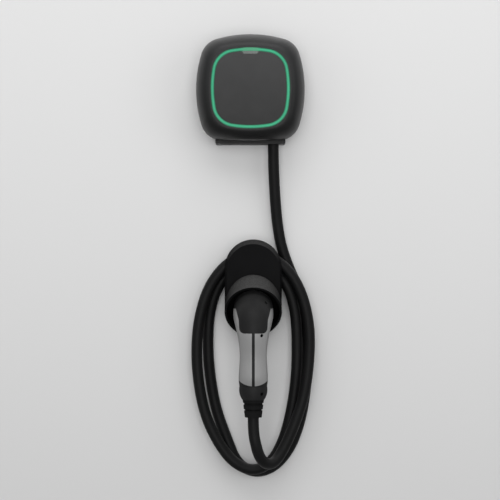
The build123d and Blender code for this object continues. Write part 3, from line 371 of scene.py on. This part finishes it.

# %% [markdown]
# ## Finishes of the unit
#
# The cover is a satin moulding, and the panel inside the ring is a little paler. Both are paler at their top in the
# photograph than a lamp makes a flat face, so their tone has painted light that makes it paler at the top and deeper
# downwards. The back is a coarser moulding, and the bracket is zinc-plated steel, brushed along its width. A low
# specular level keeps the blacks black under a big lamp.

# %% Finishes of the unit
# The cover and the panel carry painted light: their fade makes the tone paler at the top and darker below.
finish["cover"] = surface(
    "cover_satin", (0.0085, 0.0087, 0.009), 0.40, grain=2600.0, relief=15, dust_and_top_light=0.26, specular=0.25,
    painted_fade=(-0.09, 0.10, 0.3, 2.6),
)
finish["panel"] = surface(
    "panel_satin", (0.0195, 0.0197, 0.020), 0.42, grain=2600.0, relief=12, dust_and_top_light=0.10, specular=0.25,
    painted_fade=(-0.08, 0.075, 0.25, 1.6),
)
finish["window"] = surface(
    "window_smoke", (0.064, 0.080, 0.072), 0.25, grain=900.0, relief=4, mottle=0.05, dust_and_top_light=0.05
)
finish["housing"] = surface("housing_grain", (0.016, 0.016, 0.0165), 0.55, grain=1500.0, relief=40, specular=0.25)
finish["seal"] = surface("seal_rubber", (0.014, 0.014, 0.014), 0.75, grain=700.0, relief=30)
finish["gland"] = surface("gland_nylon", (0.017, 0.017, 0.018), 0.45, grain=1800.0)
finish["screw"] = surface(
    "screw_zinc", (0.56, 0.56, 0.54), 0.32, grain=1200.0, relief=10, metallic=1.0, dust_and_top_light=0.05
)
finish["bracket"] = surface(
    "bracket_zinc", (0.50, 0.505, 0.51), 0.36, grain=500.0, relief=10, metallic=1.0, stretch=(1, 1, 12), dust_and_top_light=0.1
)

dress(finish["cover"], "front_cover")
dress(finish["panel"], "front_panel")
dress(finish["window"], "sensor_window")
dress(finish["housing"], "rear_housing")
dress(finish["seal"], "housing_gasket", "supply_grommet", "gland_seal")
dress(finish["gland"], "gland_body", "gland_nut")
dress(finish["screw"], "cover_screws", "board_screws", "terminal_screws", "holster_screws")
dress(finish["bracket"], "wall_bracket")
print("finishes of the unit", len(finish))

# %% [markdown]
# ## Lit ring
#
# The ring is a frosted light guide with a row of small lamps behind it. It glows evenly along its line and is
# deeper in colour towards its two edges, where less light comes through. An ambient occlusion node that looks inwards
# finds those edges: near one, a ray inside the solid soon meets a side wall. The stretch over the sensor window is
# duller, so the green there is mixed with a quieter one. It is found by its height and its distance from the middle.

# %% Ring
ring_edge_reach = 0.0032
ring_patch_scale = 26.0
ring_grain = 1800.0
ring_depth_stops = [(0.5, (0.002, 0.08, 0.036)), (1.0, (0.026, 0.31, 0.163))]
ring_patch_stops = [(0.3, 0.8), (0.7, 1.0)]
ring_glow = 0.5
dull_green = (0.045, 0.22, 0.12, 1.0)
dull_sides = (0.020, 0.010)


def ring_light():
    material, tree, output = node_tree("ring_glow")
    shader = add_node(tree, "ShaderNodeBsdfPrincipled")
    shader.inputs["Roughness"].default_value = 0.35
    shader.inputs["Specular IOR Level"].default_value = 0.2
    shader.inputs["Emission Strength"].default_value = ring_glow
    place = object_coordinates(tree)
    inward = add_node(tree, "ShaderNodeAmbientOcclusion", inside=True, samples=8)
    inward.inputs["Distance"].default_value = ring_edge_reach
    core = ramp(tree, inward.outputs["AO"], ring_depth_stops)
    patches = ramp(tree, noise(tree, place, ring_patch_scale, 1.0, 0.4), ring_patch_stops)
    lit = product(tree, core, patches)

    across, _, height = axes(tree, place)
    aside = add_node(tree, "ShaderNodeMath", operation="ABSOLUTE")
    link(tree, across, aside.inputs[0])
    near = map_range(tree, aside.outputs[0], *dull_sides)
    upper = math_node(tree, "GREATER_THAN", height, 0.0)
    tint = add_node(tree, "ShaderNodeMix", data_type="RGBA")
    tint.inputs["B"].default_value = dull_green
    link(tree, math_node(tree, "MULTIPLY", near, upper), tint.inputs["Factor"])
    link(tree, lit, tint.inputs["A"])
    link(tree, tint.outputs["Result"], shader.inputs["Base Color"])
    link(tree, tint.outputs["Result"], shader.inputs["Emission Color"])
    fine_bump(tree, shader, place, ring_grain, relief=10, strength=1.0)
    link(tree, shader.outputs[0], output.inputs["Surface"])
    return material


finish["ring"] = ring_light()
dress(finish["ring"], "light_ring")
ring_low, ring_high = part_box("light_ring")
print("ring", round(ring_high[0] - ring_low[0], 3), "m wide,", round(ring_high[2] - ring_low[2], 3), "m high")

# %% [markdown]
# ## Finishes of the holster and the plug
#
# The holster is one deep black moulding with a coarse grain, with painted shade deep inside its mouth and painted
# light from above on its upper lip. The plug's two handle halves are painted silver, and its cap, strip and collar
# are black plastic. The boot is rubber, with grooves that let it bend. The grooves are shaped in CAD, and the finish
# adds only painted shade that makes them a little darker, as it does in the wells of the plug.

# %% Finishes of the holster and the plug
# The holster's dust amount is mostly painted light from above on its upper lip. Its reach paints shade inside its
# mouth.
finish["holster"] = surface(
    "holster_grain", (0.0045, 0.0045, 0.0048), 0.50, grain=1500.0, relief=30, dust_and_top_light=0.48, specular=0.03, painted_shade_reach=0.022
)
finish["silver"] = surface(
    "plug_silver", (0.232, 0.232, 0.232), 0.40, grain=2400.0, relief=15, mottle=0.06, dust_and_top_light=0.08
)
# The plug's black parts and the boot have painted shade in their wells and grooves.
finish["plug"] = surface(
    "plug_black", (0.0145, 0.0145, 0.0148), 0.42, grain=2000.0, dust_and_top_light=0.08, specular=0.08, painted_shade_reach=0.004
)
finish["boot"] = surface(
    "boot_rubber", (0.0085, 0.0085, 0.0087), 0.60, grain=900.0, relief=30, dust_and_top_light=0.06, specular=0.03, painted_shade_reach=0.005
)
finish["contact"] = surface(
    "contact_silver", (0.80, 0.78, 0.74), 0.22, grain=1500.0, relief=4, metallic=1.0, dust_and_top_light=0.0
)

dress(finish["holster"], "holster_shell", "holster_plate", "holster_cup")
dress(finish["silver"], "plug_shell_left", "plug_shell_right")
dress(finish["plug"], "plug_cap", "plug_strip", "plug_collar", "plug_nose")
dress(finish["boot"], "plug_boot")
dress(finish["contact"], "power_contacts", "signal_contacts")
print("finishes so far", len(finish))

# %% [markdown]
# ## Finishes under the cover
#
# Nobody sees these until the cover is off, but then their colours tell them apart: a green board, yellow tape round
# the transformer, blue capacitors, grey terminals, and orange on the two things that a fitter sets by hand. The five
# leads have the colours that are usual for three lines, neutral and earth.

# %% Finishes of the parts on the board
finish["lid"] = surface("lid_grey", (0.27, 0.28, 0.29), 0.5, grain=1500.0, relief=30, dust_and_top_light=0.1)
finish["board"] = surface("board_mask", (0.010, 0.085, 0.035), 0.35, grain=1200.0, relief=10, dust_and_top_light=0.05)
finish["relay"] = surface("relay_case", (0.016, 0.016, 0.017), 0.25, grain=900.0, relief=8, dust_and_top_light=0.05)
finish["terminal"] = surface("terminal_grey", (0.30, 0.32, 0.33), 0.45, grain=1500.0, dust_and_top_light=0.05)
finish["sensor"] = surface("sensor_resin", (0.016, 0.016, 0.017), 0.35, grain=900.0, relief=10, dust_and_top_light=0.05)
finish["coil"] = surface("coil_tape", (0.60, 0.43, 0.05), 0.4, grain=300.0, relief=40, stretch=(1, 1, 8), dust_and_top_light=0.05)
finish["capacitor"] = surface("capacitor_sleeve", (0.02, 0.06, 0.19), 0.25, grain=900.0, relief=6, dust_and_top_light=0.05)
finish["fuse"] = surface("fuse_ceramic", (0.75, 0.73, 0.68), 0.3, grain=1500.0, relief=10, dust_and_top_light=0.05)
finish["switch"] = surface("switch_white", (0.72, 0.72, 0.70), 0.35, grain=1500.0, relief=10, dust_and_top_light=0.05)
finish["dial"] = surface("dial_orange", (0.62, 0.16, 0.02), 0.35, grain=1500.0, relief=10, dust_and_top_light=0.05)
finish["lamp"] = surface("lamp_white", (0.80, 0.82, 0.76), 0.3, grain=1500.0, relief=6, dust_and_top_light=0.0)

dress(finish["lid"], "inner_lid")
dress(finish["board"], "main_board", "led_board", "radio_module")
dress(finish["relay"], "relay_1", "relay_2", "relay_3", "relay_4")
dress(finish["terminal"], "supply_terminal", "outlet_terminal")
dress(finish["sensor"], "current_sensor")
dress(finish["coil"], "supply_transformer")
dress(finish["capacitor"], "filter_capacitors")
dress(finish["fuse"], "board_fuse")
dress(finish["switch"], "selector_base", "bus_switch_base")
dress(finish["dial"], "selector_dial", "bus_switch_knob")
dress(finish["lamp"], "ring_lamps")
print("finishes so far", len(finish))

# %% Finishes of the leads
lead_tones = {
    "line_one_lead": (0.15, 0.055, 0.02),
    "line_two_lead": (0.016, 0.016, 0.017),
    "line_three_lead": (0.24, 0.25, 0.26),
    "neutral_lead": (0.02, 0.10, 0.38),
    "earth_lead": (0.22, 0.42, 0.03),
}
for lead, tone in lead_tones.items():
    dress(surface(lead + "_sheath", tone, 0.4, grain=900.0, relief=10, dust_and_top_light=0.03), lead)
print("dressed", sum(1 for o in nodes.values() if o.data.materials), "of", len(nodes), "nodes")

# %% [markdown]
# ## Screws in the handle
#
# Three small screws pull the handle's pieces together. Each one sits at the bottom of a shallow well. The wells are
# cut with a Boolean into a welded copy of the piece, because a dark spot in the material would have no depth from
# the side. A ray sent back from the front finds the surface, and its normal gives the well's direction.


# %% Welded copies
weld_distance = 2 * micron
smooth_angle = 32


def smooth_by_angle(mesh, degrees):
    mesh.polygons.foreach_set("use_smooth", [True] * len(mesh.polygons))
    mesh.set_sharp_from_angle(angle=math.radians(degrees))


def welded_copy(node, name):
    """A new object with a CAD node's shape, its doubled vertices merged."""
    work = bmesh.new()
    work.from_mesh(nodes[node].data)
    bmesh.ops.remove_doubles(work, verts=work.verts, dist=weld_distance)
    bmesh.ops.dissolve_degenerate(work, edges=work.edges, dist=weld_distance / 2)
    bmesh.ops.recalc_face_normals(work, faces=work.faces)
    mesh = bpy.data.meshes.new(name)
    work.to_mesh(mesh)
    work.free()
    copy = bpy.data.objects.new(name, mesh)
    scene.collection.objects.link(copy)
    return copy


def applied(obj):
    """The same object with its modifiers taken into its mesh."""
    bpy.context.view_layer.update()
    graph = bpy.context.evaluated_depsgraph_get()
    mesh = bpy.data.meshes.new_from_object(obj.evaluated_get(graph))
    mesh.name = obj.name
    obj.modifiers.clear()
    obj.data = mesh
    return obj


# %% Places of the wells
well_radius = 0.0032
well_depth = 0.0021
# Each well's place across and its height, for the piece that it is cut into.
well_places = {
    "plug_cap": (0.0285, -0.3860),
    "plug_shell_right": (0.0205, -0.4439),
    "plug_collar": (0.0205, -0.5484),
}
backwards = Vector((0, 1, 0))
wells = {}
for node, (x, z) in well_places.items():
    found, place, normal, _ = nodes[node].ray_cast(Vector((x, -1.0, z)), backwards)
    if found:
        wells[node] = (place.copy(), normal.normalized())
        print(node, [round(v, 4) for v in place], [round(v, 2) for v in normal])

# %% Wells
cutter_height = 0.010
cutter_sides = 40


def well_cutter(place, normal):
    """A cylinder that reaches well_depth below the surface."""
    work = bmesh.new()
    bmesh.ops.create_cone(
        work, cap_ends=True, segments=cutter_sides, radius1=well_radius, radius2=well_radius, depth=cutter_height
    )
    centre = place + normal * (cutter_height / 2 - well_depth)
    turn = normal.to_track_quat("Z", "Y").to_matrix().to_4x4()
    bmesh.ops.transform(work, matrix=Matrix.Translation(centre) @ turn, verts=work.verts)
    mesh = bpy.data.meshes.new("well_cutter")
    work.to_mesh(mesh)
    work.free()
    cutter = bpy.data.objects.new("well_cutter", mesh)
    scene.collection.objects.link(cutter)
    return cutter


def cut_well(piece, place, normal):
    cutter = well_cutter(place, normal)
    cut = piece.modifiers.new("well", "BOOLEAN")
    cut.operation = "DIFFERENCE"
    cut.solver = "EXACT"
    cut.object = cutter
    applied(piece)
    bpy.data.objects.remove(cutter)


for node, (place, normal) in wells.items():
    painted = "shell" in node
    piece = welded_copy(node, node.replace("plug_", "handle_"))
    cut_well(piece, place, normal)
    smooth_by_angle(piece.data, smooth_angle)
    piece.data.materials.clear()
    piece.data.materials.append(finish["silver" if painted else "plug"])
    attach(piece, "charger")
    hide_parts(node)
    print(piece.name, len(piece.data.polygons), "faces")

# %% [markdown]
# ## Screw heads by Geometry Nodes
#
# The heads are all alike, so one node tree makes them. It is given a point for each head and the direction that the
# head faces, as an attribute of the point. The tree builds a flat cylinder, cuts a cross into it, puts a copy on each
# point and turns it to that direction. Realize Instances makes it one plain mesh at the end. The inputs are sizes in
# metres, and are set on the modifier by the identifier of their socket.


# %% Helpers for Geometry Nodes
def geometry_tree(name, inputs):
    """A tree with its named inputs. inputs has (name, kind, value) rows."""
    tree = bpy.data.node_groups.new(name, "GeometryNodeTree")
    tree.interface.new_socket("Geometry", in_out="INPUT", socket_type="NodeSocketGeometry")
    keys = {}
    for label, kind, value in inputs:
        socket = tree.interface.new_socket(label, in_out="INPUT", socket_type=kind)
        socket.default_value = value
        keys[label] = socket.identifier
    tree.interface.new_socket("Geometry", in_out="OUTPUT", socket_type="NodeSocketGeometry")
    given = add_node(tree, "NodeGroupInput").outputs
    result = add_node(tree, "NodeGroupOutput").inputs
    return tree, keys, given, result


def end_tree(tree, copies, material, result):
    """Instances made real, and given their material."""
    real = add_node(tree, "GeometryNodeRealizeInstances")
    link(tree, copies.outputs["Instances"], real.inputs["Geometry"])
    painted = add_node(tree, "GeometryNodeSetMaterial")
    painted.inputs["Material"].default_value = material
    link(tree, real.outputs["Geometry"], painted.inputs["Geometry"])
    link(tree, painted.outputs["Geometry"], result["Geometry"])


def grown(obj, tree, keys, **values):
    """Runs the tree on the object, with values for its inputs, and takes the result into its mesh."""
    maker = obj.modifiers.new("maker", "NODES")
    maker.node_group = tree
    for label, value in values.items():
        maker[keys[label]] = value
    return applied(obj)


# %% Node tree for heads
head_radius = 0.0030
head_height = 0.0009
cross_width = 0.0007
cross_lift = 0.6
cross_overhang = 1.3
head_sides = 32


def cross_bars(tree, given):
    """Two crossed bars, sunk into the head's top."""
    lift = add_node(tree, "ShaderNodeCombineXYZ")
    link(tree, given["Height"], lift.inputs["Z"])
    shift = add_node(tree, "ShaderNodeVectorMath", operation="SCALE")
    shift.inputs["Scale"].default_value = cross_lift
    link(tree, lift.outputs[0], shift.inputs[0])
    reach = math_node(tree, "MULTIPLY", given["Radius"], cross_overhang)
    bars = []
    for along, across in ("XY", "YX"):
        extent = add_node(tree, "ShaderNodeCombineXYZ")
        link(tree, reach, extent.inputs[along])
        link(tree, given["Width"], extent.inputs[across])
        link(tree, given["Height"], extent.inputs["Z"])
        bar = add_node(tree, "GeometryNodeMeshCube")
        link(tree, extent.outputs[0], bar.inputs["Size"])
        raised = add_node(tree, "GeometryNodeTransform")
        link(tree, bar.outputs["Mesh"], raised.inputs["Geometry"])
        link(tree, shift.outputs[0], raised.inputs["Translation"])
        bars.append(raised.outputs["Geometry"])
    return bars


def head_tree(material):
    sizes = [("Radius", head_radius), ("Height", head_height), ("Width", cross_width)]
    tree, keys, given, result = geometry_tree("cross_heads", [(n, "NodeSocketFloat", v) for n, v in sizes])
    head = add_node(tree, "GeometryNodeMeshCylinder")
    head.inputs["Vertices"].default_value = head_sides
    link(tree, given["Radius"], head.inputs["Radius"])
    link(tree, given["Height"], head.inputs["Depth"])
    crossed = add_node(tree, "GeometryNodeMeshBoolean", operation="DIFFERENCE")
    link(tree, head.outputs["Mesh"], crossed.inputs["Mesh 1"])
    for bar in cross_bars(tree, given):
        link(tree, bar, crossed.inputs["Mesh 2"])

    facing = add_node(tree, "GeometryNodeInputNamedAttribute", data_type="FLOAT_VECTOR")
    facing.inputs["Name"].default_value = "facing"
    turn = add_node(tree, "FunctionNodeAlignRotationToVector", axis="Z")
    link(tree, facing.outputs["Attribute"], turn.inputs["Vector"])
    copies = add_node(tree, "GeometryNodeInstanceOnPoints")
    link(tree, given["Geometry"], copies.inputs["Points"])
    link(tree, crossed.outputs["Mesh"], copies.inputs["Instance"])
    link(tree, turn.outputs["Rotation"], copies.inputs["Rotation"])
    end_tree(tree, copies, material, result)
    return tree, keys


finish["handle_screw"] = surface(
    "handle_screw_black", (0.002, 0.002, 0.002), 0.5, grain=1200.0, relief=10, dust_and_top_light=0.0, specular=0.03
)
heads_tree, heads_keys = head_tree(finish["handle_screw"])
print("inputs of", heads_tree.name, list(heads_keys))

# %% Heads
head_sink = 0.0002


def points_with(name, places, directions):
    """A mesh of loose points that carries a direction for each."""
    mesh = bpy.data.meshes.new(name)
    mesh.from_pydata([tuple(p) for p in places], [], [])
    facing = mesh.attributes.new("facing", "FLOAT_VECTOR", "POINT")
    for item, direction in zip(facing.data, directions):
        item.vector = direction
    points = bpy.data.objects.new(name, mesh)
    scene.collection.objects.link(points)
    return points


head_places = [p + n * (head_height / 2 - head_sink - well_depth) for p, n in wells.values()]
heads = points_with("handle_screw_heads", head_places, [n for _, n in wells.values()])
grown(heads, heads_tree, heads_keys, Radius=head_radius, Height=head_height, Width=cross_width)
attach(heads, "charger")
print("heads", len(heads.data.polygons), "faces")

# %% [markdown]
# ## Small parts on the board
#
# Under the cover, the board between its big parts is full of small ones. They fill four strips that the relays,
# terminals and capacitors leave free. The strips are four faces that look away from the wall. A node tree scatters
# points over them with a least distance, so that no two parts meet, and puts a small block on each. The seed is
# fixed, so every run gives the same board.

# %% Node tree for board parts
part_length = 0.0024
part_spacing = 0.0046
part_seed = 4
part_density = 40000.0
part_shape = (1.0, 0.62, 0.5)
part_smallest = (0.6, 0.7, 0.7)
part_largest = (1.5, 1.2, 1.2)


def part_tree(material):
    tree, keys, given, result = geometry_tree(
        "board_parts",
        [
            ("Spacing", "NodeSocketFloat", part_spacing),
            ("Length", "NodeSocketFloat", part_length),
            ("Seed", "NodeSocketInt", part_seed),
        ],
    )
    spots = add_node(tree, "GeometryNodeDistributePointsOnFaces", distribute_method="POISSON")
    spots.inputs["Density Max"].default_value = part_density
    link(tree, given["Geometry"], spots.inputs["Mesh"])
    link(tree, given["Spacing"], spots.inputs["Distance Min"])
    link(tree, given["Seed"], spots.inputs["Seed"])

    size = add_node(tree, "ShaderNodeVectorMath", operation="SCALE")
    size.inputs[0].default_value = part_shape
    link(tree, given["Length"], size.inputs["Scale"])
    block = add_node(tree, "GeometryNodeMeshCube")
    link(tree, size.outputs[0], block.inputs["Size"])
    vary = add_node(tree, "FunctionNodeRandomValue", data_type="FLOAT_VECTOR")
    vary.inputs[0].default_value = part_smallest
    vary.inputs[1].default_value = part_largest
    link(tree, given["Seed"], vary.inputs["Seed"])
    copies = add_node(tree, "GeometryNodeInstanceOnPoints")
    link(tree, spots.outputs["Points"], copies.inputs["Points"])
    link(tree, spots.outputs["Rotation"], copies.inputs["Rotation"])
    link(tree, block.outputs["Mesh"], copies.inputs["Instance"])
    link(tree, vary.outputs[0], copies.inputs["Scale"])
    end_tree(tree, copies, material, result)
    return tree, keys


finish["chip"] = surface(
    "chip_black", (0.02, 0.02, 0.022), 0.4, grain=1500.0, relief=6, mottle=0.4, dust_and_top_light=0.05
)
parts_tree, parts_keys = part_tree(finish["chip"])
print("inputs of", parts_tree.name, list(parts_keys))

# %% Strips of the board
# Each strip has its left, lower, right and upper edge in metres.
strips = [
    (-0.054, 0.009, 0.054, 0.016),
    (-0.052, 0.052, 0.036, 0.060),
    (-0.052, -0.049, 0.014, -0.043),
    (-0.014, -0.038, 0.014, -0.022),
]
strip_end = part_length * 0.75
strip_lift = 0.0005
board_low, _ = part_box("main_board")
strip_depth = board_low[1] - strip_lift
corners = []
for x0, z0, x1, z1 in strips:
    x0, x1 = x0 + strip_end, x1 - strip_end
    corners += [(x, strip_depth, z) for x, z in ((x0, z0), (x1, z0), (x1, z1), (x0, z1))]
strip_mesh = bpy.data.meshes.new("board_parts")
strip_mesh.from_pydata(corners, [], [(4 * i, 4 * i + 1, 4 * i + 2, 4 * i + 3) for i in range(len(strips))])
parts = bpy.data.objects.new("board_parts", strip_mesh)
scene.collection.objects.link(parts)
print("strips face", [round(v, 1) for v in strip_mesh.polygons[0].normal])

# %% Board parts
grown(parts, parts_tree, parts_keys, Spacing=part_spacing, Length=part_length, Seed=part_seed)
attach(parts, "charger")
print("board parts", len(parts.data.polygons) // 6)

# %% [markdown]
# ## Charging cable
#
# The cable is one length of thick rubber-sheathed lead. It leaves the foot of the unit, hangs, and is looped two and
# a half times over the holster before it rises into the plug. A curve is right for it: a smooth spline through a
# few listed points, with a round section. The points are those of the CAD tube. Each has its place across, its
# distance from the wall and its height, in millimetres.

# %% Route of the cable
cable_route = [
    (42, 28, -78), (42, 28, -119), (43.5, 25, -162), (46, 21, -205), (50, 16, -246), (57, 13, -286),
    (72, 11, -327), (92, 11, -370), (102.5, 11, -424), (106, 11, -484), (103, 11, -544), (93, 11, -605),
    (73.5, 11, -658), (43, 11, -693), (7, 11, -703), (-26, 11, -684), (-44, 11, -638),
    (-64, 11, -584), (-75, 11, -523), (-79, 11.5, -460), (-75, 13, -400), (-58, 16, -352),
    (-31, 19, -327), (5, 22, -318), (40, 23, -326), (68, 25, -353), (83, 28, -403),
    (86, 29, -462), (84.5, 30, -522), (76, 31, -584), (61, 32, -641), (38, 33, -682), (4, 34, -697),
    (-31, 33, -681), (-57, 32, -648), (-81, 31, -600), (-94, 30, -545), (-99.5, 30, -483),
    (-95.5, 31, -422), (-80, 32, -366), (-56, 33, -329), (-28, 33.5, -306), (8, 34, -297.5),
    (44, 34.5, -306), (77, 36, -336), (99, 37, -383), (109, 38, -440), (107, 41, -500),
    (98.5, 46, -556), (83, 51, -602), (67, 55, -640), (50, 61, -670), (38, 72, -679), (25, 85, -675),
    (15.5, 94, -661), (9.5, 99, -640), (5.2, 96, -616), (5.2, 96, -591),
]
cable_points = [(x / 1000, -depth / 1000, z / 1000) for x, depth, z in cable_route]
print("cable points", len(cable_points))

# %% Cable
cable_diameter = 0.020
finish["cable"] = surface(
    "cable_sheath", (0.0042, 0.0042, 0.0044), 0.50, grain=1100.0, mottle=0.15, dust_and_top_light=0.12, specular=0.12
)


def spline_curve(name, points, radius, resolution=12, sides=10):
    """An open smooth spline with a round section."""
    data = bpy.data.curves.new(name, "CURVE")
    data.dimensions = "3D"
    data.resolution_u = resolution
    data.bevel_depth = radius
    data.bevel_resolution = sides
    data.use_fill_caps = True
    spline = data.splines.new("NURBS")
    spline.points.add(len(points) - 1)
    for point, place in zip(spline.points, points):
        point.co = (*place, 1.0)
    spline.order_u = 3
    spline.use_endpoint_u = True
    curve = bpy.data.objects.new(name, data)
    scene.collection.objects.link(curve)
    return curve


cable = spline_curve("cable", cable_points, cable_diameter / 2)
cable.data.materials.append(finish["cable"])
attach(cable, "charger")
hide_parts("charging_cable")
print("cable goes from", cable_points[0], "to", cable_points[-1])
